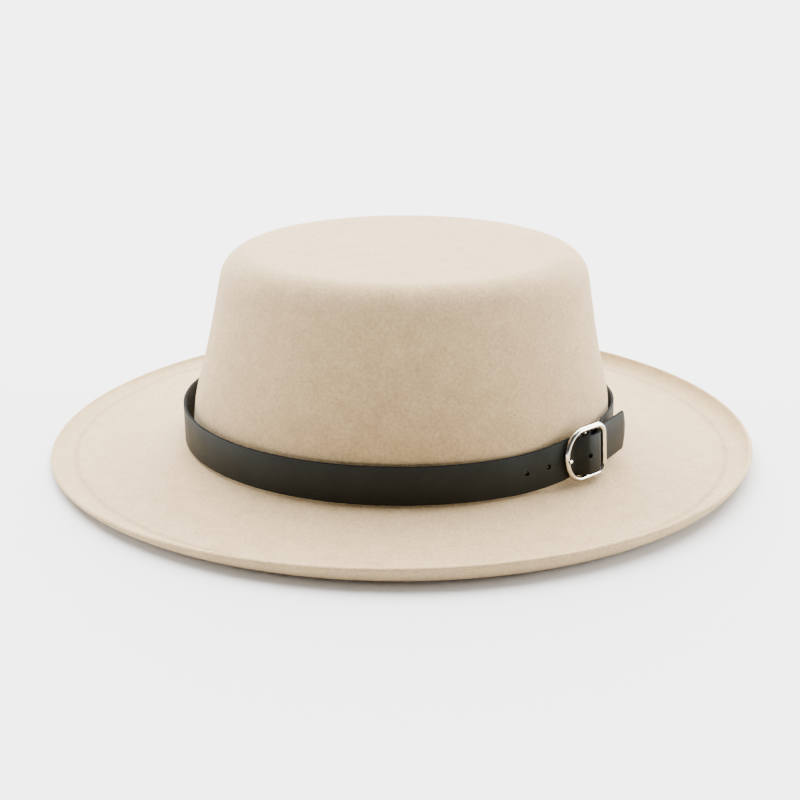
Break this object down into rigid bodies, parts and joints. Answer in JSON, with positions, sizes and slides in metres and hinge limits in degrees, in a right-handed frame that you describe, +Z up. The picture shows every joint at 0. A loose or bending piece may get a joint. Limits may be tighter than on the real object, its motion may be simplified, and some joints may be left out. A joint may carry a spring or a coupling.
{
  "type": "fedora hat",
  "caption": "Flat-crowned felt hat with a wide, slightly curled brim and a narrow leather band closed by a D-shaped buckle with its free tail showing.",
  "frame": {"origin": "on the surface that the hat rests on, under the middle of its bounding box", "axes": "+X along the hat's length, +Y across it, away from the side with the buckle, +Z up out of the crown"},
  "size_m": [0.3344, 0.3022, 0.0965],
  "materials": {
    "felt": "fine brushed wool felt, matt",
    "band_leather": "smooth, semi-matt",
    "buckle_metal": "polished nickel plate"
  },
  "bodies": {
    "root": {"felt_body": "felt", "hat_band": "band_leather", "buckle_frame": "buckle_metal", "prong": "buckle_metal"}
  },
  "joints": []
}
